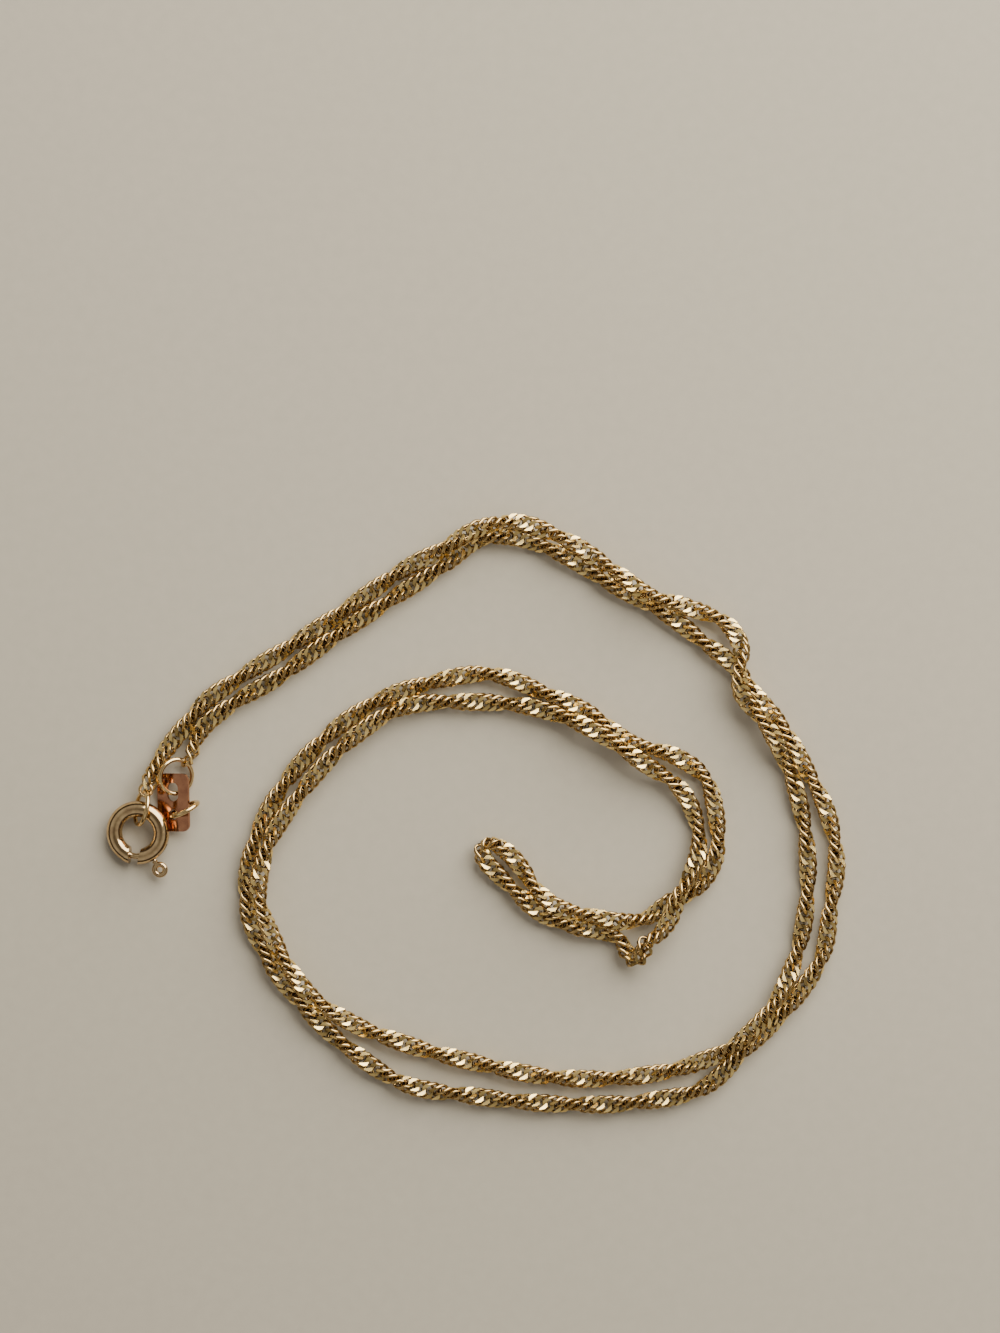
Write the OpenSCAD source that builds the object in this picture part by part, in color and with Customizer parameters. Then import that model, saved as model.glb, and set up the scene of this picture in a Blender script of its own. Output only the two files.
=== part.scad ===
// A fine twisted neck chain of about 50 cm, doubled and laid in a spiral on a flat surface.
// A spring ring clasp ends one side, and a jump ring with a small tag and the catch ring the other.
// X runs along the long side of the spiral, Y across it and Z up from the surface it lies on.
// The origin is on the surface, under the middle of the whole object.

/* [Chain] */
// Diameter of the round body that the twisted links fill
chain_d = 1.4; // [1.2:0.05:1.4]

/* [Clasp] */
// Outer diameter of the spring ring
clasp_d = 6; // [5.8:0.05:6.1]
// Diameter of the tube that the ring is bent from
clasp_tube_d = 1.5; // [1.4:0.05:1.55]
// Diameter of the bore inside that tube
clasp_bore_d = 0.68; // [0.6:0.02:0.9]
// Running clearance between the bolt and the bore, all round
bolt_clearance = 0.07; // [0.02:0.01:0.1]
// Width of the mouth that the bolt closes, at the tube's centre
mouth_w = 0.96; // [0.8:0.02:1.1]
// How much narrower the mouth is at the ring's outside than at its inside
mouth_narrowing = 0.3; // [0.1:0.02:0.4]
// How far the bolt's tip reaches into the far end of the tube
bolt_seat = 0.2; // [0.1:0.02:0.3]
// Length of the bolt behind the trigger, along the tube's centre
bolt_tail = 0.9; // [0.6:0.05:1.1]
// Greatest turn of the trigger round the ring, in degrees
trigger_travel = 34; // [30:1:36]
// Diameter of the stem that carries the trigger loop
stem_d = 0.34; // [0.28:0.02:0.4]
// Clearance between the stem and the sides of its slot
slot_clearance = 0.05; // [0.03:0.01:0.08]
// Width of the trigger loop
trigger_w = 1.52; // [1.4:0.01:1.6]
// Length of the trigger loop past the tube, along the ring's radius
trigger_l = 1.8; // [1.75:0.01:2]
// Diameter of the trigger loop's wire
trigger_wire_d = 0.52; // [0.44:0.02:0.56]
// Diameter of the neck that joins the loop to the stem, at its foot
trigger_neck_d = 0.56; // [0.46:0.02:0.6]
// Length of the collar round the mouth's far side
collar_l = 0.34; // [0.2:0.02:0.5]
// How far the collar stands out from the tube
collar_rise = 0.06; // [0.04:0.01:0.12]
// Width of the seam line round the tube
seam_w = 0.08; // [0.05:0.01:0.12]
// Depth of the seam line
seam_depth = 0.05; // [0.03:0.01:0.08]

/* [Rings] */
// Wire of the link that hangs round the clasp's tube
clasp_link_wire_d = 0.42; // [0.38:0.01:0.43]
// Outer diameter of that link
clasp_link_d = 3.58; // [3.56:0.01:3.62]
// Wire of the tag's jump ring
tag_ring_wire_d = 0.42; // [0.38:0.01:0.43]
// Outer diameter of the tag's jump ring
tag_ring_d = 3.64; // [3.6:0.01:3.66]
// Wire of the catch ring
catch_ring_wire_d = 0.45; // [0.4:0.01:0.46]
// Outer diameter of the catch ring
catch_ring_d = 3.2; // [3.15:0.01:3.25]
// Wire of the two end links of the chain
end_link_wire_d = 0.28; // [0.26:0.01:0.3]
// Outer diameter of the two end links
end_link_d = 1.44; // [1.42:0.01:1.5]
// How far an end link hangs off the middle of the wire that it holds
end_link_play = 0.16; // [0.14:0.01:0.18]

/* [Tag] */
// Width of the tag's plate
tag_w = 3.24; // [3.2:0.01:3.28]
// Height of the tag's plate
tag_h = 5.45; // [5.35:0.01:5.5]
// Thickness of the tag's plate
tag_t = 0.3; // [0.2:0.01:0.32]
// Radius of the plate's rounded corners
tag_corner_r = 0.65; // [0.5:0.05:0.7]
// Width of the upper slot
slot_w = 1.14; // [1.12:0.01:1.18]
// Length of the upper slot
slot_l = 1.76; // [1.7:0.01:1.8]
// Diameter of the lower hole
eye_d = 0.96; // [0.92:0.01:1]

/* [Hidden] */

// Smoothness of round wires and of their bends
wire_steps = 32;
bend_steps = 96;

// Colours of the polished chain, of the fittings and of the redder tag
chain_gold = [0.85, 0.68, 0.36];
fitting_gold = [0.83, 0.65, 0.38];
tag_gold = [0.72, 0.45, 0.27];

// Sides of the chain's body
chain_sides = 8;
chain_r = chain_d / 2;

// Route of the chain from the clasp to the fold in the middle of the spiral.
// Each point is across, along and the lift above a chain that lies on the surface.
clasp_side_route = [
    [-30.4, 3.1, 0.8],
    [-29.8, 4.6, 0.2],
    [-27.4, 8.0, 0],
    [-25.5, 10.3, 0],
    [-22.0, 12.8, 0],
    [-17.2, 15.8, 0],
    [-12.5, 18.9, 0],
    [-7.0, 22.7, 0.1],
    [-2.7, 25.0, 1.0],
    [0.8, 26.9, 1.2],
    [3.8, 27.3, 0.7],
    [8.0, 25.9, 0.8],
    [12.7, 23.0, 0.8],
    [16.2, 20.5, 1.3],
    [19.8, 19.4, 0.6],
    [23.9, 17.5, 0.1],
    [24.9, 15.4, 1.0],
    [24.7, 13.5, 1.6],
    [24.9, 11.4, 1.3],
    [26.2, 9.6, 1.1],
    [27.8, 7.4, 1.1],
    [29.7, 3.4, 0],
    [31.0, -2.0, 0],
    [31.1, -8.1, 0],
    [29.9, -13.9, 0],
    [27.8, -18.0, 1.0],
    [24.5, -21.4, 1.1],
    [20.6, -23.4, 0],
    [15.0, -24.6, 0],
    [8.9, -24.8, 0],
    [-0.5, -23.2, 0],
    [-7.0, -21.4, 0],
    [-11.5, -19.6, 0.1],
    [-15.1, -17.2, 0.9],
    [-18.4, -12.6, 0.6],
    [-20.2, -6.8, 1.2],
    [-19.7, -3.9, 0.8],
    [-16.1, 2.2, 0.5],
    [-11.7, 6.9, 0.7],
    [-7.0, 9.9, 0.4],
    [-0.5, 10.5, 0],
    [6.1, 9.8, 0.3],
    [10.6, 8.1, 1.1],
    [15.3, 5.1, 1.2],
    [19.7, 1.7, 0],
    [21.0, -2.3, 0],
    [19.8, -6.4, 1.2],
    [18.9, -7.8, 1.6],
    [18.4, -9.4, 1.3],
    [17.0, -11.4, 0.9],
    [15.9, -12.1, 1.4],
    [15.6, -13.1, 1.2],
    [14.9, -13.6, 0.6],
    [14.2, -12.9, 0.1],
    [13.6, -11.8, 0],
    [12.1, -11.1, 0],
    [9.1, -10.5, 0],
    [6.5, -9.5, 0],
    [3.5, -7.0, 0],
    [1.8, -5.3, 0],
    [0.9, -4.3, 0],
    [0.7, -3.4, 0],
];

// Route from the fold back to the tag's jump ring, beside the other half
tag_side_route = [
    [1.4, -2.8, 0],
    [2.6, -3.3, 0],
    [4.4, -5.1, 0],
    [5.6, -6.9, 0.3],
    [7.2, -8.4, 0.7],
    [10.8, -9.5, 0.8],
    [13.4, -10.0, 1.1],
    [16.4, -9.6, 0.1],
    [18.1, -8.4, 0],
    [20.8, -7.0, 0],
    [22.6, -3.9, 0],
    [22.6, -0.1, 0],
    [21.4, 3.6, 0],
    [18.8, 5.4, 0],
    [14.7, 6.6, 0],
    [10.8, 9.4, 0],
    [6.6, 11.3, 0],
    [1.4, 13.1, 0],
    [-4.2, 12.3, 0],
    [-8.9, 10.7, 0],
    [-13.6, 7.5, 0],
    [-17.8, 2.9, 0],
    [-20.9, -3.4, 0],
    [-21.4, -8.5, 0],
    [-19.5, -13.4, 0],
    [-15.7, -18.4, 0],
    [-11.2, -22.5, 0],
    [-6.6, -25.3, 0],
    [-0.5, -26.4, 0],
    [8.0, -27.2, 0],
    [15.5, -27.0, 0],
    [21.7, -25.5, 0],
    [25.3, -22.1, 0],
    [30.2, -17.1, 0],
    [32.6, -13.2, 0],
    [33.3, -9.0, 0],
    [33.9, -4.3, 0],
    [33.1, -0.1, 0],
    [31.0, 4.3, 0],
    [28.4, 8.7, 0],
    [26.4, 11.0, 0],
    [24.5, 13.7, 0],
    [21.7, 15.9, 0],
    [18.3, 18.5, 0],
    [12.7, 21.6, 0],
    [8.0, 24.4, 0],
    [2.8, 26.0, 0],
    [0.4, 25.7, 0],
    [-2.8, 23.4, 0],
    [-8.0, 20.0, 0],
    [-13.6, 16.3, 0],
    [-18.3, 12.9, 0],
    [-23.0, 10.1, 0],
    [-25.5, 8.0, 0],
    [-26.3, 6.6, 0],
    [-26.5, 5.7, 0.1],
];

// The whole route, as points in space, and the point where its two halves meet
route = [for (p = concat(clasp_side_route, tag_side_route)) [p.x, p.y, chain_r + p.z]];
fold = len(clasp_side_route) - 1;
last = len(route) - 1;

// End links: each lies a small gap past its end of the chain
end_link_wire_r = end_link_wire_d / 2;
end_link_r = end_link_d / 2 - end_link_wire_r;
end_gap = 0.19;
end_reach = end_link_d / 2 + end_gap;
chain_start_bearing = 65.3;
chain_finish_bearing = 52.3;

// End link on the clasp's link: it lies level and points along the chain
clasp_end_bearing = 60;
clasp_end_x = route[0].x - end_reach * cos(chain_start_bearing);
clasp_end_y = route[0].y - end_reach * sin(chain_start_bearing);

// Link round the clasp's tube: it stands nearly upright and leans to the right
link_bearing = 78;
clasp_link_lean = 24;
clasp_link_wire_r = clasp_link_wire_d / 2;
clasp_link_r = clasp_link_d / 2 - clasp_link_wire_r;
clasp_link_x = clasp_end_x - end_link_play * cos(clasp_end_bearing) - clasp_link_r * cos(link_bearing);
clasp_link_y = clasp_end_y - end_link_play * sin(clasp_end_bearing) - clasp_link_r * sin(link_bearing);
clasp_link_z = clasp_link_r * cos(clasp_link_lean) + clasp_link_wire_r;

// Clasp: its tube passes the link at the seat, and its right side is raised over the tag's corner
seat_right = 0.06;
seat_down = 0.15;
seat_x = clasp_link_x + seat_right;
seat_y = clasp_link_y - seat_down;
clasp_tilt = 9;
tilt_bearing = 40;
tube_r = clasp_tube_d / 2;
bore_r = clasp_bore_d / 2;
ring_r = clasp_d / 2 - tube_r;
seat_along = ring_r * cos(clasp_tilt) * cos(link_bearing - tilt_bearing);
seat_across = ring_r * sin(link_bearing - tilt_bearing);
clasp_x = seat_x - seat_along * cos(tilt_bearing) + seat_across * sin(tilt_bearing);
clasp_y = seat_y - seat_along * sin(tilt_bearing) - seat_across * cos(tilt_bearing);
clasp_z = tube_r + collar_rise + ring_r * sin(clasp_tilt);

// Angles along the ring: a length on the tube's centre line makes this many degrees
degrees_per_mm = 360 / (2 * PI * ring_r);
mouth_end = -86;
mouth_start = mouth_end - mouth_w * degrees_per_mm;
mouth_bearing = (mouth_start + mouth_end) / 2;
trigger_bearing = -59.5;
bolt_r = bore_r - bolt_clearance;
bolt_tip = mouth_start - bolt_seat * degrees_per_mm;
bolt_end = trigger_bearing + bolt_tail * degrees_per_mm;
stem_r = stem_d / 2;
slot_half = stem_r + slot_clearance;
slot_half_deg = slot_half * degrees_per_mm;
seam_bearing = 4;
collar_deg = collar_l * degrees_per_mm;
collar_sweep = mouth_bearing - mouth_start + collar_deg;
seam_deg = seam_w * degrees_per_mm;

// How far cuts through the tube reach from its centre
cut_reach = tube_r + collar_rise + 0.1;

// Trigger loop: a small ring of wire on a neck, just outside the tube
trigger_wire_r = trigger_wire_d / 2;
trigger_bend_r = trigger_w / 2 - trigger_wire_r;
trigger_gap = 0.07;
neck_inset = 0.05;
neck_out = clasp_d / 2 + trigger_gap;
loop_out = clasp_d / 2 + trigger_l - trigger_w / 2;
neck_l = loop_out - trigger_bend_r - neck_out;

// Jump ring of the tag: its end link hangs across its wire, and its left side is raised.
// The swing turns the raised side from straight left towards the ring's top.
tag_ring_z = 1.14;
tag_ring_tilt = 29;
tag_ring_swing = 15;
tag_ring_wire_r = tag_ring_wire_d / 2;
tag_ring_r = tag_ring_d / 2 - tag_ring_wire_r;
tag_end_bearing = 55;
tag_end_out = tag_ring_r + end_link_play;
tag_end_x = route[last].x - end_reach * cos(chain_finish_bearing);
tag_end_y = route[last].y - end_reach * sin(chain_finish_bearing);
tag_end_along = tag_end_out * cos(tag_end_bearing + tag_ring_swing) * cos(tag_ring_tilt);
tag_end_across = tag_end_out * sin(tag_end_bearing + tag_ring_swing);
tag_ring_x = tag_end_x - tag_end_along * cos(tag_ring_swing) - tag_end_across * sin(tag_ring_swing);
tag_ring_y = tag_end_y + tag_end_along * sin(tag_ring_swing) - tag_end_across * cos(tag_ring_swing);

// Tag: a plain plate that hangs by its slot on the jump ring. Its right side and its upper end
// are up, and its lower left corner is a hair over the surface.
// The slot and the eye are placed from the plate's middle.
tag_tilt = 23;
tag_pitch = 3;
tag_floor_gap = 0.03;
tag_slope_x = sin(tag_tilt);
tag_slope_y = sin(tag_pitch) * cos(tag_tilt);
tag_drop = (tag_w / 2 - tag_corner_r) * tag_slope_x + (tag_h / 2 - tag_corner_r) * tag_slope_y
    + tag_corner_r * norm([tag_slope_x, tag_slope_y]);
tag_z = tag_floor_gap + tag_drop + tag_t / 2 * cos(tag_tilt) * cos(tag_pitch);
slot_y = 0.98;
slot_play = 0.16;
eye_y = -1.14;
tag_x = tag_ring_x - 0.26;
tag_y = tag_ring_y - tag_ring_r + (slot_play - slot_y) * cos(tag_pitch);

// Catch ring: it stands through the tag's eye, with its top leaning away
catch_bearing = 26;
catch_lean = 10;
catch_play = 0.2;
catch_ring_wire_r = catch_ring_wire_d / 2;
catch_ring_r = catch_ring_d / 2 - catch_ring_wire_r;
catch_reach = catch_ring_r - catch_play;
catch_x = tag_x - eye_y * sin(tag_pitch) * sin(tag_tilt) + catch_reach * cos(catch_bearing);
catch_y = tag_y + eye_y * cos(tag_pitch) + catch_reach * sin(catch_bearing);
catch_z = catch_ring_r * cos(catch_lean) + catch_ring_wire_r;

// Small overlap for cuts
eps = 0.01;

// Unit vector
function unit(v) = v / norm(v);

// Direction of the route at point i: the middle of the directions before and after it
function heading(i) =
    i == 0 ? unit(route[1] - route[0]) :
    i == last ? unit(route[last] - route[last - 1]) :
    unit(unit(route[i] - route[i - 1]) + unit(route[i + 1] - route[i]));

// Level direction across the route at point i
function across(i) = unit(cross([0, 0, 1], heading(i)));

// One ring of the chain's body: point i plus the radius turned round the route
function chain_ring(i) = [
    for (k = [0 : chain_sides - 1])
        let (turn = 360 * k / chain_sides)
            route[i] + chain_r * (cos(turn) * across(i) + sin(turn) * cross(heading(i), across(i)))
];

// Faces between ring j and the next one
function side_faces(j) = [
    for (k = [0 : chain_sides - 1])
        let (n = (k + 1) % chain_sides)
            [
                j * chain_sides + k,
                (j + 1) * chain_sides + k,
                (j + 1) * chain_sides + n,
                j * chain_sides + n,
            ]
];

// Body of the chain from route point first to route point final
module chain_body(first, final) {
    rings = final - first;
    points = [for (i = [first : final]) each chain_ring(i)];
    sides = [for (j = [0 : rings - 1]) each side_faces(j)];
    near_end = [for (k = [0 : chain_sides - 1]) k];
    far_end = [for (k = [chain_sides - 1 : -1 : 0]) rings * chain_sides + k];
    polyhedron(points = points, faces = concat(sides, [near_end, far_end]), convexity = 10);
}

// Closed ring of round wire, flat about the origin
module wire_ring(bend_r, wire_r) {
    rotate_extrude($fn = bend_steps)
        translate([bend_r, 0])
            circle(r = wire_r, $fn = wire_steps);
}

// Part of such a ring, from one bearing over a number of degrees
module wire_arc(bend_r, wire_r, from, degrees) {
    rotate([0, 0, from])
        rotate_extrude(angle = degrees, $fn = bend_steps)
            translate([bend_r, 0])
                circle(r = wire_r, $fn = wire_steps);
}

// Puts a piece of the clasp in place: its right side rises by the tilt
module at_clasp() {
    translate([clasp_x, clasp_y, clasp_z])
        rotate([0, 0, tilt_bearing])
            rotate([0, -clasp_tilt, 0])
                rotate([0, 0, -tilt_bearing])
                    children();
}

module chain_clasp_side() {
    color(chain_gold)
        chain_body(0, fold);
}

module chain_tag_side() {
    color(chain_gold)
        chain_body(fold, last);
}

// Outline of the slot in the tube's outer wall, for the whole travel of the stem
module stem_slot() {
    rotate([0, 0, trigger_bearing - slot_half_deg])
        rotate_extrude(angle = trigger_travel + 2 * slot_half_deg, $fn = bend_steps)
            translate([ring_r, -slot_half])
                square([cut_reach, 2 * slot_half]);
}

// Shallow line round the tube where its two lengths were joined
module seam_line() {
    rotate([0, 0, seam_bearing])
        rotate_extrude(angle = seam_deg, $fn = bend_steps)
            translate([ring_r, 0])
                difference() {
                    circle(r = cut_reach, $fn = wire_steps);
                    circle(r = tube_r - seam_depth, $fn = wire_steps);
                }
}

// Wedge that cuts the mouth: its sides lie closer together at the ring's outside
module mouth_wedge() {
    lean = mouth_narrowing / 2 * cut_reach / clasp_tube_d;
    inside = mouth_w / 2 + lean;
    outside = mouth_w / 2 - lean;
    rotate([0, 0, mouth_bearing])
        translate([ring_r, 0, -cut_reach])
            linear_extrude(2 * cut_reach)
                polygon([[-cut_reach, -inside], [cut_reach, -outside], [cut_reach, outside], [-cut_reach, inside]]);
}

// Hollow ring with its mouth, the collar at the mouth's far side, the slot and the seam line
module clasp_ring() {
    color(fitting_gold)
        at_clasp()
            difference() {
                union() {
                    wire_ring(ring_r, tube_r);
                    wire_arc(ring_r, tube_r + collar_rise, mouth_start - collar_deg, collar_sweep);
                }
                wire_ring(ring_r, bore_r);
                mouth_wedge();
                stem_slot();
                seam_line();
            }
}

// Loop of the trigger and the neck that narrows into its wire
module trigger_loop() {
    translate([loop_out, 0, 0])
        wire_ring(trigger_bend_r, trigger_wire_r);
    translate([neck_out, 0, 0])
        rotate([0, 90, 0])
            cylinder(r1 = trigger_neck_d / 2, r2 = trigger_wire_r - neck_inset, h = neck_l, $fn = wire_steps);
}

// Curved bolt in the tube, with the stem and the loop that a fingernail pulls
module bolt() {
    color(fitting_gold)
        at_clasp() {
            wire_arc(ring_r, bolt_r, bolt_tip, bolt_end - bolt_tip);
            rotate([0, 0, trigger_bearing]) {
                translate([ring_r, 0, 0])
                    rotate([0, 90, 0])
                        cylinder(r = stem_r, h = neck_out + neck_inset - ring_r, $fn = wire_steps);
                trigger_loop();
            }
        }
}

module clasp_link() {
    color(fitting_gold)
        translate([clasp_link_x, clasp_link_y, clasp_link_z])
            rotate([90 + clasp_link_lean, 0, link_bearing])
                wire_ring(clasp_link_r, clasp_link_wire_r);
}

module clasp_end_link() {
    color(chain_gold)
        translate([clasp_end_x, clasp_end_y, clasp_link_z])
            wire_ring(end_link_r, end_link_wire_r);
}

// Puts a piece in the plane of the tag's jump ring
module at_tag_ring() {
    translate([tag_ring_x, tag_ring_y, tag_ring_z])
        rotate([0, 0, -tag_ring_swing])
            rotate([0, tag_ring_tilt, 0])
                rotate([0, 0, tag_ring_swing])
                    children();
}

module tag_ring() {
    color(fitting_gold)
        at_tag_ring()
            wire_ring(tag_ring_r, tag_ring_wire_r);
}

// End link across the jump ring's wire, on its outer side
module tag_end_link() {
    color(chain_gold)
        at_tag_ring()
            rotate([0, 0, tag_end_bearing])
                translate([tag_end_out, 0, 0])
                    rotate([90, 0, 0])
                        wire_ring(end_link_r, end_link_wire_r);
}

// Outline of the tag: a plate with rounded corners
module tag_outline() {
    square([tag_w, tag_h - 2 * tag_corner_r], center = true);
    square([tag_w - 2 * tag_corner_r, tag_h], center = true);
    for (sx = [-1, 1])
        for (sy = [-1, 1])
            translate([sx * (tag_w / 2 - tag_corner_r), sy * (tag_h / 2 - tag_corner_r)])
                circle(r = tag_corner_r, $fn = wire_steps);
}

// The upper slot, with round ends, and the lower eye
module tag_openings() {
    slot_straight = slot_l - slot_w;
    translate([0, slot_y]) {
        square([slot_w, slot_straight], center = true);
        for (sy = [-1, 1])
            translate([0, sy * slot_straight / 2])
                circle(d = slot_w, $fn = wire_steps);
    }
    translate([0, eye_y])
        circle(d = eye_d, $fn = wire_steps);
}

module tag() {
    color(tag_gold)
        translate([tag_x, tag_y, tag_z])
            rotate([tag_pitch, -tag_tilt, 0])
                translate([0, 0, -tag_t / 2])
                    linear_extrude(tag_t)
                        difference() {
                            tag_outline();
                            tag_openings();
                        }
}

module catch_ring() {
    color(fitting_gold)
        translate([catch_x, catch_y, catch_z])
            rotate([90 + catch_lean, 0, catch_bearing])
                wire_ring(catch_ring_r, catch_ring_wire_r);
}

chain_clasp_side();
chain_tag_side();
clasp_ring();
bolt();
clasp_link();
clasp_end_link();
tag_ring();
tag_end_link();
tag();
catch_ring();
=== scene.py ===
import math
import bpy
import numpy as np
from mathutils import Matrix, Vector


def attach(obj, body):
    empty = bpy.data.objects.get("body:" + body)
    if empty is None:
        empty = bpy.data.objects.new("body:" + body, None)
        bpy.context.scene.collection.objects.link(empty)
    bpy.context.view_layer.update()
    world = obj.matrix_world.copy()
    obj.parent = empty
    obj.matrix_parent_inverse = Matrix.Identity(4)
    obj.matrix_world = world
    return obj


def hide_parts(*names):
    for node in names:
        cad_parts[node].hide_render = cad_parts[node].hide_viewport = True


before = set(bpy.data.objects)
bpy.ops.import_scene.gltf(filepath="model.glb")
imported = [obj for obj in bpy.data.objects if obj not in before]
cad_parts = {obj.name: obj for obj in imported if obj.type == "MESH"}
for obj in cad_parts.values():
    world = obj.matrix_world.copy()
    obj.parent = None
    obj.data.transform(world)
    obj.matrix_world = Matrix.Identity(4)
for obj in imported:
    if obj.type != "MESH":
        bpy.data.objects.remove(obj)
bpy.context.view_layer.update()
mm = 0.001
print("stage: frame loaded")


# camera: it looks straight down, as the photograph does
cameraLook = {
    "centre": (2.344 * mm, 13.816 * mm, 0.0),   # floor point in the middle of the picture
    "height": 330 * mm,                         # camera above the chain's middle
    "level": 0.9 * mm,                          # height of the chain's middle
    "pictureHeight": 124.97 * mm,               # what the picture's long side spans there
    "sensor": 36.0,
    "nearest": 0.01,                            # metres that the camera sees from and to
    "farthest": 20,
}
cameraData = bpy.data.cameras.new("camera")
cameraData.sensor_width = cameraLook["sensor"]
cameraData.lens = cameraLook["sensor"] * cameraLook["height"] / cameraLook["pictureHeight"]
cameraData.clip_start = cameraLook["nearest"]
cameraData.clip_end = cameraLook["farthest"]
camera = bpy.data.objects.new("camera", cameraData)
centreX, centreY, centreZ = cameraLook["centre"]
camera.location = (centreX, centreY, centreZ + cameraLook["level"] + cameraLook["height"])
bpy.context.scene.collection.objects.link(camera)
bpy.context.scene.camera = camera
print("stage: camera set")


# route of the chain, point by point as in the part's source: x, y and the lift, in mm
claspSideRoute = [
    (-30.4, 3.1, 0.8), (-29.8, 4.6, 0.2), (-27.4, 8.0, 0), (-25.5, 10.3, 0), (-22.0, 12.8, 0),
    (-17.2, 15.8, 0), (-12.5, 18.9, 0), (-7.0, 22.7, 0.1), (-2.7, 25.0, 1.0), (0.8, 26.9, 1.2),
    (3.8, 27.3, 0.7), (8.0, 25.9, 0.8), (12.7, 23.0, 0.8), (16.2, 20.5, 1.3), (19.8, 19.4, 0.6),
    (23.9, 17.5, 0.1), (24.9, 15.4, 1.0), (24.7, 13.5, 1.6), (24.9, 11.4, 1.3), (26.2, 9.6, 1.1),
    (27.8, 7.4, 1.1), (29.7, 3.4, 0), (31.0, -2.0, 0), (31.1, -8.1, 0), (29.9, -13.9, 0),
    (27.8, -18.0, 1.0), (24.5, -21.4, 1.1), (20.6, -23.4, 0), (15.0, -24.6, 0), (8.9, -24.8, 0),
    (-0.5, -23.2, 0), (-7.0, -21.4, 0), (-11.5, -19.6, 0.1), (-15.1, -17.2, 0.9), (-18.4, -12.6, 0.6),
    (-20.2, -6.8, 1.2), (-19.7, -3.9, 0.8), (-16.1, 2.2, 0.5), (-11.7, 6.9, 0.7), (-7.0, 9.9, 0.4),
    (-0.5, 10.5, 0), (6.1, 9.8, 0.3), (10.6, 8.1, 1.1), (15.3, 5.1, 1.2), (19.7, 1.7, 0),
    (21.0, -2.3, 0), (19.8, -6.4, 1.2), (18.9, -7.8, 1.6), (18.4, -9.4, 1.3), (17.0, -11.4, 0.9),
    (15.9, -12.1, 1.4), (15.6, -13.1, 1.2), (14.9, -13.6, 0.6), (14.2, -12.9, 0.1), (13.6, -11.8, 0),
    (12.1, -11.1, 0), (9.1, -10.5, 0), (6.5, -9.5, 0), (3.5, -7.0, 0), (1.8, -5.3, 0),
    (0.9, -4.3, 0), (0.7, -3.4, 0),
]
tagSideRoute = [
    (1.4, -2.8, 0), (2.6, -3.3, 0), (4.4, -5.1, 0), (5.6, -6.9, 0.3), (7.2, -8.4, 0.7),
    (10.8, -9.5, 0.8), (13.4, -10.0, 1.1), (16.4, -9.6, 0.1), (18.1, -8.4, 0), (20.8, -7.0, 0),
    (22.6, -3.9, 0), (22.6, -0.1, 0), (21.4, 3.6, 0), (18.8, 5.4, 0), (14.7, 6.6, 0),
    (10.8, 9.4, 0), (6.6, 11.3, 0), (1.4, 13.1, 0), (-4.2, 12.3, 0), (-8.9, 10.7, 0),
    (-13.6, 7.5, 0), (-17.8, 2.9, 0), (-20.9, -3.4, 0), (-21.4, -8.5, 0), (-19.5, -13.4, 0),
    (-15.7, -18.4, 0), (-11.2, -22.5, 0), (-6.6, -25.3, 0), (-0.5, -26.4, 0), (8.0, -27.2, 0),
    (15.5, -27.0, 0), (21.7, -25.5, 0), (25.3, -22.1, 0), (30.2, -17.1, 0), (32.6, -13.2, 0),
    (33.3, -9.0, 0), (33.9, -4.3, 0), (33.1, -0.1, 0), (31.0, 4.3, 0), (28.4, 8.7, 0),
    (26.4, 11.0, 0), (24.5, 13.7, 0), (21.7, 15.9, 0), (18.3, 18.5, 0), (12.7, 21.6, 0),
    (8.0, 24.4, 0), (2.8, 26.0, 0), (0.4, 25.7, 0), (-2.8, 23.4, 0), (-8.0, 20.0, 0),
    (-13.6, 16.3, 0), (-18.3, 12.9, 0), (-23.0, 10.1, 0), (-25.5, 8.0, 0), (-26.3, 6.6, 0),
    (-26.5, 5.7, 0.1),
]

pathSteps = 24                   # points on each stretch between two route points
lookAhead = 0.3 * mm             # the path's direction is taken this far to both sides

chainSizes = {
    "tubeRadius": 0.7 * mm,
    "rise": 0.215 * mm,          # links stand wider than the tube, so their middle is higher
    "pitch": 0.67 * mm,          # each link passes through the next two
    "halfLength": 0.845 * mm,    # of a link's wire centre
    "halfWidth": 0.74 * mm,
    "fullEnds": 0.05,            # how far the oval bulges to a box along its length
    "fullSides": 0.08,           # and across it
    "endTwist": 55,              # degrees by which a link is twisted at its ends
    "planeHeight": 0.36 * mm,    # of the cut flats over the link's middle
    "wireRadius": 0.166 * mm,
    "ringAngles": (16, 33, 54, 75),   # where the wire's rings stand in each quarter of a link
    "topAngles": (6, 30, 30, 20),     # half of what the wire's top side takes up there, uncut
    "snap": 0.05 * mm,           # a top side this close under the cutting plane is drawn up to it
    "deepestCut": -0.2,          # the plane never cuts lower than this share of the wire's radius
    "rollSpread": 4.0,           # degrees by which links lie unevenly about the chain's line
    "nodSpread": 3.0,            # and up or down along it
    "gapSpread": 0.03 * mm,      # and how far they stray along it
    "halfTurn": 5.7 * mm,        # length in which the chain turns over once
    "phase": 0.6,                # of the twist at the clasp
    "coreRadius": 0.22 * mm,     # painted shade in the chain's core: full to this radius, gone past the fade
    "coreFade": 0.34 * mm,
    "startBack": 0.5 * mm,       # how far the first link reaches back past the tube's end
}


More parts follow.
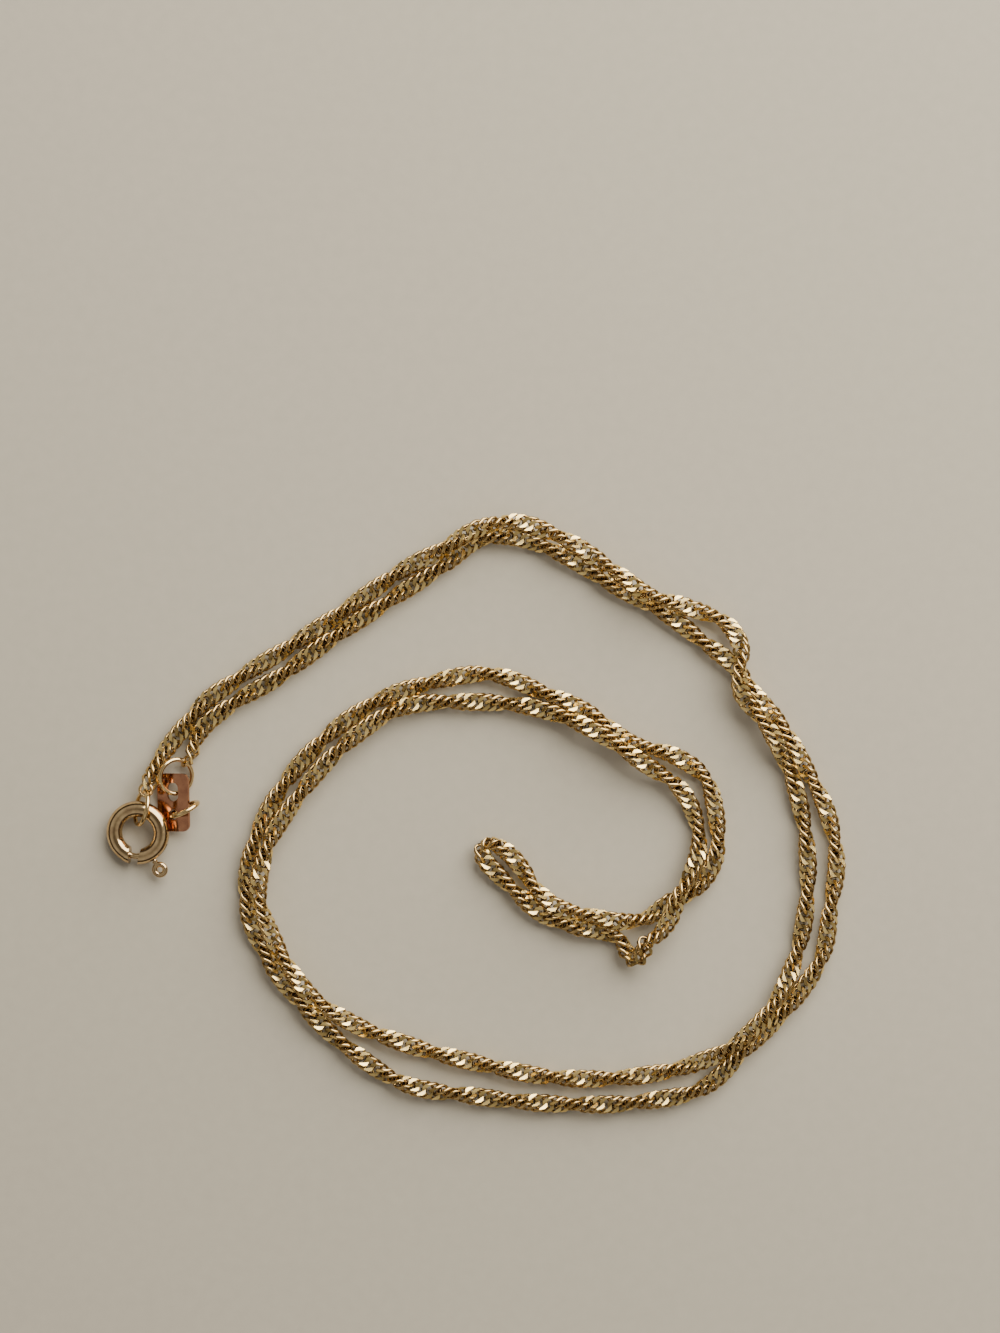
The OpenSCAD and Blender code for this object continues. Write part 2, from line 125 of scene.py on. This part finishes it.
def smoothPath(points):
    # cubic through the points: each stretch joins its ends with the slope of the points beside it,
    # and never dips under the lowest point
    p = np.asarray(points, float)
    ahead = np.vstack([p[1:], 2 * p[-1] - p[-2]])
    back = np.vstack([2 * p[0] - p[1], p[:-1]])
    before = np.linalg.norm(p - back, axis=1)[:, None]
    after = np.linalg.norm(ahead - p, axis=1)[:, None]
    slope = ((p - back) / before * after + (ahead - p) / after * before) / (before + after)
    t = np.linspace(0, 1, pathSteps, endpoint=False)[None, :, None]
    length = after[:-1, None]
    a = p[:-1, None]
    b = p[1:, None]
    sa = slope[:-1, None] * length
    sb = slope[1:, None] * length
    curve = ((2*t**3 - 3*t**2 + 1) * a + (t**3 - 2*t**2 + t) * sa
             + (3*t**2 - 2*t**3) * b + (t**3 - t**2) * sb)
    curve = np.vstack([curve.reshape(-1, 3), p[-1:]])
    curve[:, 2] = np.maximum(curve[:, 2], p[:, 2].min())
    run = np.concatenate([[0], np.cumsum(np.linalg.norm(np.diff(curve, axis=0), axis=1))])
    return curve, run


def alongPath(curve, run, s):
    # point and unit direction at each length s
    ends = np.clip(s, 0, run[-1])
    spill = (s - ends)[:, None]
    point = np.stack([np.interp(ends, run, curve[:, k]) for k in range(3)], 1)
    lo = np.clip(ends - lookAhead, 0, run[-1])
    hi = np.clip(ends + lookAhead, 0, run[-1])
    low = np.stack([np.interp(lo, run, curve[:, k]) for k in range(3)], 1)
    high = np.stack([np.interp(hi, run, curve[:, k]) for k in range(3)], 1)
    way = (high - low) / np.linalg.norm(high - low, axis=1)[:, None]
    return point + spill * way, way


def linkShape(sizes):
    # one link in its own place: the wire's centre is an oval x = a (cos t - e cos 3t),
    # v = b (sin t + g sin 3t), twisted about its long axis by u = k x / a, which makes
    # y = v cos u and z = -v sin u; the wire is six-sided and its top and bottom are cut flat
    # at the plane height
    e, g = sizes["fullEnds"], sizes["fullSides"]
    a, b = sizes["halfLength"] / (1 - e), sizes["halfWidth"] / (1 - g)
    r, plane = sizes["wireRadius"], sizes["planeHeight"]
    quarter = np.array(sizes["ringAngles"])
    t = np.radians(np.concatenate([quarter, 180 - quarter[::-1], 180 + quarter, 360 - quarter[::-1]]))
    rest = np.radians(sizes["topAngles"])
    rest = np.concatenate([rest, rest[::-1], rest, rest[::-1]])
    x = a * (np.cos(t) - e * np.cos(3 * t))
    v = b * (np.sin(t) + g * np.sin(3 * t))
    u = math.radians(sizes["endTwist"]) * x / sizes["halfLength"]
    middle = np.stack([x, v * np.cos(u), -v * np.sin(u)], 1)
    along = np.roll(middle, -1, axis=0) - np.roll(middle, 1, axis=0)
    along /= np.linalg.norm(along, axis=1)[:, None]
    side = np.cross([0, 0, 1.0], along)
    side /= np.linalg.norm(side, axis=1)[:, None]
    up = np.cross(along, side)
    high = np.arccos(np.clip((plane - middle[:, 2]) / (r * up[:, 2]), sizes["deepestCut"], 1))
    deep = np.arccos(np.clip((plane + middle[:, 2]) / (r * up[:, 2]), sizes["deepestCut"], 1))
    top = np.maximum(high, rest)
    low = np.maximum(deep, rest)
    turn = np.stack([top, (top + np.pi - low) / 2, np.pi - low,
                     np.pi + low, (3 * np.pi + low - top) / 2, 2 * np.pi - top], 1)
    ring = middle[:, None] + r * (np.cos(turn)[..., None] * up[:, None]
                                  + np.sin(turn)[..., None] * side[:, None])
    reach = np.stack([ring[:, 0, 2], ring[:, 5, 2], -ring[:, 2, 2], -ring[:, 3, 2]], 1)
    near = reach > plane - sizes["snap"]
    ring[:, (0, 5), 2] = np.where(near[:, :2], plane, ring[:, (0, 5), 2])
    ring[:, (2, 3), 2] = np.where(near[:, 2:], -plane, ring[:, (2, 3), 2])
    ring[..., 2] = np.clip(ring[..., 2], -plane, plane)
    cut = np.stack([near[:, 0] & near[:, 1], near[:, 2] & near[:, 3]], 1)
    # painted shade: how much of the dark core colour each point takes, full near the link's long axis
    fromCore = np.hypot(ring[..., 1], ring[..., 2]) - sizes["coreRadius"]
    coreShade = 1 - np.clip(fromCore / sizes["coreFade"], 0, 1)
    return ring, cut, coreShade


def chainMesh(name, curve, run, starts, sizes, seed):
    # the link's shape set at each place along the path, turned about it by the twist
    ring, cut, coreShade = linkShape(sizes)
    n, k = ring.shape[:2]
    uneven = np.random.default_rng(seed).uniform(-1, 1, (3, len(starts), 1))
    point, way = alongPath(curve, run, starts + uneven[0, :, 0] * sizes["gapSpread"])
    point = point + np.array([0, 0, sizes["rise"]])
    across = np.cross([0, 0, 1.0], way)
    across /= np.linalg.norm(across, axis=1)[:, None]
    over = np.cross(way, across)
    nod = math.radians(sizes["nodSpread"]) * uneven[1]
    way, over = np.cos(nod) * way + np.sin(nod) * over, np.cos(nod) * over - np.sin(nod) * way
    turn = (sizes["phase"] + np.pi * starts / sizes["halfTurn"])[:, None]
    turn = turn + math.radians(sizes["rollSpread"]) * uneven[2]
    y = np.cos(turn) * across + np.sin(turn) * over
    z = np.cos(turn) * over - np.sin(turn) * across
    shape = ring.reshape(-1, 3)
    verts = (point[:, None] + shape[None, :, :1] * way[:, None]
             + shape[None, :, 1:2] * y[:, None] + shape[None, :, 2:] * z[:, None])
    i, j = np.meshgrid(np.arange(n), np.arange(k), indexing="ij")
    i2 = (i + 1) % n
    j2 = (j + 1) % k
    quad = np.stack([i * k + j, i2 * k + j, i2 * k + j2, i * k + j2], 2).reshape(-1, 4)
    faces = (quad[None] + (np.arange(len(starts)) * n * k)[:, None, None]).reshape(-1, 4)
    flat = np.zeros((n, k), bool)
    both = cut & np.roll(cut, -1, axis=0)
    flat[:, 5] = both[:, 0]
    flat[:, 2] = both[:, 1]
    flat = np.tile(flat.reshape(-1), len(starts))
    mesh = bpy.data.meshes.new(name)
    mesh.from_pydata(verts.reshape(-1, 3).tolist(), [], faces.tolist())
    mesh.polygons.foreach_set("use_smooth", ~flat)
    cutFace = mesh.attributes.new("cutFace", "FLOAT", "FACE")
    cutFace.data.foreach_set("value", flat.astype(np.float32))
    # painted shade of the chain's core, kept on the points
    coreShade = np.tile(coreShade.reshape(-1), len(starts))
    coreShadePoint = mesh.attributes.new("coreShade", "FLOAT", "POINT")
    coreShadePoint.data.foreach_set("value", coreShade.astype(np.float32))
    mesh.update()
    return mesh


def addPiece(name, mesh):
    piece = bpy.data.objects.new(name, mesh)
    bpy.context.scene.collection.objects.link(piece)
    return piece


allRoute = np.array(claspSideRoute + tagSideRoute) * mm
allRoute[:, 2] += chainSizes["tubeRadius"]
curve, run = smoothPath(allRoute)
foldPoint = allRoute[len(claspSideRoute) - 1]
foldRun = run[np.argmin(np.linalg.norm(curve - foldPoint, axis=1))]
chainLength = run[-1] + 2 * chainSizes["startBack"]
linkCount = int(chainLength / chainSizes["pitch"])
pitch = chainLength / linkCount
places = -chainSizes["startBack"] + pitch * (np.arange(linkCount) + 0.5)
strands = (
    # piece, tube that it replaces, places of its links, seed of their unevenness
    ("chain_links_clasp_side", "chain_clasp_side", places[places < foldRun], 0),
    ("chain_links_tag_side", "chain_tag_side", places[places >= foldRun], 7),
)
chainPieces = []
for name, node, starts, seed in strands:
    piece = addPiece(name, chainMesh(name, curve, run, starts, chainSizes, seed))
    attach(piece, "necklace")
    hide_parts(node)
    chainPieces.append(piece)
print("stage: chain made,", linkCount, "links")


wearLook = {
    # turn in radians, and how finely the noise is drawn along x, y and z, for each way of the scratches
    "scratches": ((0.5, (900, 9000, 3000)), (-0.9, (8000, 1100, 3000))),
    "scratchDetail": 2.0,
    "dimpleScale": 1400.0,
    "dimpleDetail": 3.0,
    "dimpleShare": 1.5,          # how much the dimples count beside the scratches
    "wearFrom": 0.35,            # what part of the dimples' noise counts as wear
    "wearTo": 0.75,
}


def scratchGroup():
    # fine scratches and dimples that every gold here shares: stretched noise in two directions,
    # and small soft bumps
    group = bpy.data.node_groups.new("fineWear", "ShaderNodeTree")
    sockets = group.interface
    sockets.new_socket("scale", in_out="INPUT", socket_type="NodeSocketFloat").default_value = 1.0
    sockets.new_socket("depth", in_out="INPUT", socket_type="NodeSocketFloat").default_value = 1.0
    sockets.new_socket("height", in_out="OUTPUT", socket_type="NodeSocketFloat")
    sockets.new_socket("wear", in_out="OUTPUT", socket_type="NodeSocketFloat")
    nodes, links = group.nodes, group.links
    entry = nodes.new("NodeGroupInput")
    groupOut = nodes.new("NodeGroupOutput")
    coords = nodes.new("ShaderNodeTexCoord")
    spread = nodes.new("ShaderNodeVectorMath")
    spread.operation = "SCALE"
    links.new(coords.outputs["Object"], spread.inputs[0])
    links.new(entry.outputs["scale"], spread.inputs["Scale"])
    heights = []
    for turn, squeeze in wearLook["scratches"]:
        place = nodes.new("ShaderNodeMapping")
        place.inputs["Rotation"].default_value = (0, 0, turn)
        place.inputs["Scale"].default_value = squeeze
        noise = nodes.new("ShaderNodeTexNoise")
        noise.inputs["Scale"].default_value = 1.0
        noise.inputs["Detail"].default_value = wearLook["scratchDetail"]
        links.new(spread.outputs[0], place.inputs["Vector"])
        links.new(place.outputs[0], noise.inputs["Vector"])
        heights.append(noise.outputs["Fac"])
    soft = nodes.new("ShaderNodeTexNoise")
    soft.inputs["Scale"].default_value = wearLook["dimpleScale"]
    soft.inputs["Detail"].default_value = wearLook["dimpleDetail"]
    links.new(spread.outputs[0], soft.inputs["Vector"])
    join = nodes.new("ShaderNodeMath")
    join.operation = "ADD"
    links.new(heights[0], join.inputs[0])
    links.new(heights[1], join.inputs[1])
    more = nodes.new("ShaderNodeMath")
    more.operation = "MULTIPLY_ADD"
    more.inputs[1].default_value = wearLook["dimpleShare"]
    links.new(soft.outputs["Fac"], more.inputs[0])
    links.new(join.outputs[0], more.inputs[2])
    out = nodes.new("ShaderNodeMath")
    out.operation = "MULTIPLY"
    links.new(more.outputs[0], out.inputs[0])
    links.new(entry.outputs["depth"], out.inputs[1])
    links.new(out.outputs[0], groupOut.inputs["height"])
    wear = nodes.new("ShaderNodeMapRange")
    wear.inputs["From Min"].default_value = wearLook["wearFrom"]
    wear.inputs["From Max"].default_value = wearLook["wearTo"]
    links.new(soft.outputs["Fac"], wear.inputs["Value"])
    links.new(wear.outputs["Result"], groupOut.inputs["wear"])
    return group


fineWear = scratchGroup()
bumpDepth = 0.001 * mm


def goldMaterial(name, look):
    # polished metal: colour drifts a little with the wear, and so does the gloss
    material = bpy.data.materials.new(name)
    material.use_nodes = True
    nodes, links = material.node_tree.nodes, material.node_tree.links
    shader = nodes["Principled BSDF"]
    shader.inputs["Metallic"].default_value = 1.0
    wear = nodes.new("ShaderNodeGroup")
    wear.node_tree = fineWear
    wear.inputs["scale"].default_value = look["scale"]
    wear.inputs["depth"].default_value = look["depth"]
    tint = nodes.new("ShaderNodeMix")
    tint.data_type = "RGBA"
    tint.inputs[6].default_value = (*look["colour"], 1)
    tint.inputs[7].default_value = (*look["dull"], 1)
    gloss = nodes.new("ShaderNodeMapRange")
    gloss.inputs["To Min"].default_value = look["roughness"][0]
    gloss.inputs["To Max"].default_value = look["roughness"][1]
    bump = nodes.new("ShaderNodeBump")
    bump.inputs["Strength"].default_value = 1.0
    bump.inputs["Distance"].default_value = bumpDepth
    links.new(wear.outputs["wear"], tint.inputs[0])
    links.new(wear.outputs["wear"], gloss.inputs["Value"])
    links.new(wear.outputs["height"], bump.inputs["Height"])
    links.new(bump.outputs["Normal"], shader.inputs["Normal"])
    if "cutColour" not in look:
        links.new(tint.outputs[2], shader.inputs["Base Color"])
        links.new(gloss.outputs["Result"], shader.inputs["Roughness"])
        return material
    cut = nodes.new("ShaderNodeAttribute")       # the cut flats are painted brighter, partly painted sheen and partly their own fresher polish, and finely scratched
    cut.attribute_name = "cutFace"
    bright = nodes.new("ShaderNodeMix")
    bright.data_type = "RGBA"
    bright.inputs[7].default_value = (*look["cutColour"], 1)
    core = nodes.new("ShaderNodeAttribute")      # and the chain's core is darkened with painted shade
    core.attribute_name = "coreShade"
    creviceShade = nodes.new("ShaderNodeMix")
    creviceShade.data_type = "RGBA"
    creviceShade.inputs[7].default_value = (*look["creviceShade"], 1)
    satin = nodes.new("ShaderNodeMix")
    satin.inputs[3].default_value = look["cutRoughness"]
    links.new(cut.outputs["Fac"], bright.inputs[0])
    links.new(tint.outputs[2], bright.inputs[6])
    links.new(core.outputs["Fac"], creviceShade.inputs[0])
    links.new(bright.outputs[2], creviceShade.inputs[6])
    links.new(creviceShade.outputs[2], shader.inputs["Base Color"])
    links.new(cut.outputs["Fac"], satin.inputs[0])
    links.new(gloss.outputs["Result"], satin.inputs[2])
    links.new(satin.outputs[0], shader.inputs["Roughness"])
    return material


chainGold = goldMaterial("chainGold", {
    # the uncut wire's colour, darker than the cut flats: partly its own duller finish, partly painted
    # shade
    "colour": (0.60, 0.42, 0.18),
    "dull": (0.42, 0.28, 0.11),
    # the cut flats' colour, brighter than the uncut wire: partly painted sheen, partly their own
    # fresher polish
    "cutColour": (0.98, 0.73, 0.29),
    "cutRoughness": 0.27,
    # painted shade: the dark colour of the chain's core
    "creviceShade": (0.16, 0.09, 0.035),
    "roughness": (0.10, 0.20),
    "scale": 1.0,
    "depth": 1.0,
})
# the clasp's gold is painted darker than the rings' gold: a painted dark reflection
claspGoldPaintedDark = goldMaterial("claspGoldPaintedDark", {
    "colour": (0.68, 0.50, 0.27),
    "dull": (0.46, 0.31, 0.17),
    "roughness": (0.06, 0.14),
    "scale": 1.0,
    "depth": 1.5,
})
ringGold = goldMaterial("ringGold", {
    "colour": (0.84, 0.63, 0.32),
    "dull": (0.62, 0.43, 0.20),
    "roughness": (0.08, 0.16),
    "scale": 1.0,
    "depth": 1.0,
})
# the tag's gold is painted dark brown: a painted reflection of dark surroundings
tagGoldPaintedDark = goldMaterial("tagGoldPaintedDark", {
    "colour": (0.46, 0.22, 0.12),
    "dull": (0.32, 0.14, 0.08),
    "roughness": (0.08, 0.18),
    "scale": 0.8,
    "depth": 1.5,
})
for piece in chainPieces:
    piece.data.materials.append(chainGold)
finishes = {
    "clasp_ring": claspGoldPaintedDark, "bolt": claspGoldPaintedDark, "clasp_link": ringGold, "clasp_end_link": ringGold,
    "tag_ring": ringGold, "tag_end_link": ringGold, "catch_ring": ringGold, "tag": tagGoldPaintedDark,
}
for node, material in finishes.items():
    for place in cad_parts[node].material_slots:
        place.link = "OBJECT"
        place.material = material
print("stage: gold applied")


# floor and light
studio = {
    "floorColour": (0.45, 0.41, 0.335),
    "floorSize": 8.0,
    "mottleScale": 900.0,
    "mottleDetail": 4.0,
    "mottleTones": (0.94, 1.06),    # darkest and lightest share of the floor's colour
    "floorRoughness": 0.85,
    "skyRings": (
        # height in the sky, colour
        (0.00, (0.06, 0.045, 0.032)),
        (0.30, (0.13, 0.105, 0.085)),
        (0.62, (1.05, 1.00, 0.92)),
        (0.84, (0.85, 0.80, 0.72)),
        (1.00, (0.30, 0.265, 0.22)),
    ),
    "skyStrength": 0.5,
    "lights": (
        # place, size, power, colour
        ((0.20, 0.285, 0.24), 0.50, 5.6, (1.0, 0.955, 0.85)),
    ),
}


def makeFloor():
    # a flat square with a faint paper-like mottle
    half = studio["floorSize"] / 2
    mesh = bpy.data.meshes.new("floor")
    corners = [(-half, -half, 0), (half, -half, 0), (half, half, 0), (-half, half, 0)]
    mesh.from_pydata(corners, [], [(0, 1, 2, 3)])
    floor = addPiece("floor", mesh)
    material = bpy.data.materials.new("floorPaper")
    material.use_nodes = True
    nodes, links = material.node_tree.nodes, material.node_tree.links
    shader = nodes["Principled BSDF"]
    coords = nodes.new("ShaderNodeTexCoord")
    mottle = nodes.new("ShaderNodeTexNoise")
    mottle.inputs["Scale"].default_value = studio["mottleScale"]
    mottle.inputs["Detail"].default_value = studio["mottleDetail"]
    tone = nodes.new("ShaderNodeMapRange")
    tone.inputs["To Min"].default_value = studio["mottleTones"][0]
    tone.inputs["To Max"].default_value = studio["mottleTones"][1]
    tint = nodes.new("ShaderNodeVectorMath")
    tint.operation = "SCALE"
    tint.inputs[0].default_value = studio["floorColour"]
    links.new(coords.outputs["Object"], mottle.inputs["Vector"])
    links.new(mottle.outputs["Fac"], tone.inputs["Value"])
    links.new(tone.outputs["Result"], tint.inputs["Scale"])
    links.new(tint.outputs[0], shader.inputs["Base Color"])
    shader.inputs["Roughness"].default_value = studio["floorRoughness"]
    mesh.materials.append(material)
    return floor


def makeLights():
    # square panels turned to the object, and a sky whose colour goes by height
    target = Vector((0, 0, 0))
    for number, (place, size, power, colour) in enumerate(studio["lights"]):
        data = bpy.data.lights.new(f"panel{number}", "AREA")
        data.shape = "SQUARE"
        data.size = size
        data.energy = power
        data.color = colour
        light = bpy.data.objects.new(f"panel{number}", data)
        light.location = place
        light.rotation_euler = (target - Vector(place)).to_track_quat("-Z", "Y").to_euler()
        bpy.context.scene.collection.objects.link(light)
    world = bpy.data.worlds.new("studio")
    world.use_nodes = True
    nodes, links = world.node_tree.nodes, world.node_tree.links
    back = nodes["Background"]
    back.inputs["Strength"].default_value = studio["skyStrength"]
    coords = nodes.new("ShaderNodeTexCoord")
    parts = nodes.new("ShaderNodeSeparateXYZ")
    rings = nodes.new("ShaderNodeValToRGB")   # dim straight above, brightest around it, dark low down
    rings.color_ramp.interpolation = "EASE"
    stops = rings.color_ramp.elements
    while len(stops) < len(studio["skyRings"]):
        stops.new(0.5)
    for stop, (height, colour) in zip(stops, studio["skyRings"]):
        stop.position = height
        stop.color = (*colour, 1)
    links.new(coords.outputs["Generated"], parts.inputs[0])
    links.new(parts.outputs["Z"], rings.inputs[0])
    links.new(rings.outputs["Color"], back.inputs["Color"])
    bpy.context.scene.world = world


floor = makeFloor()
makeLights()
print("stage: floor and light made")
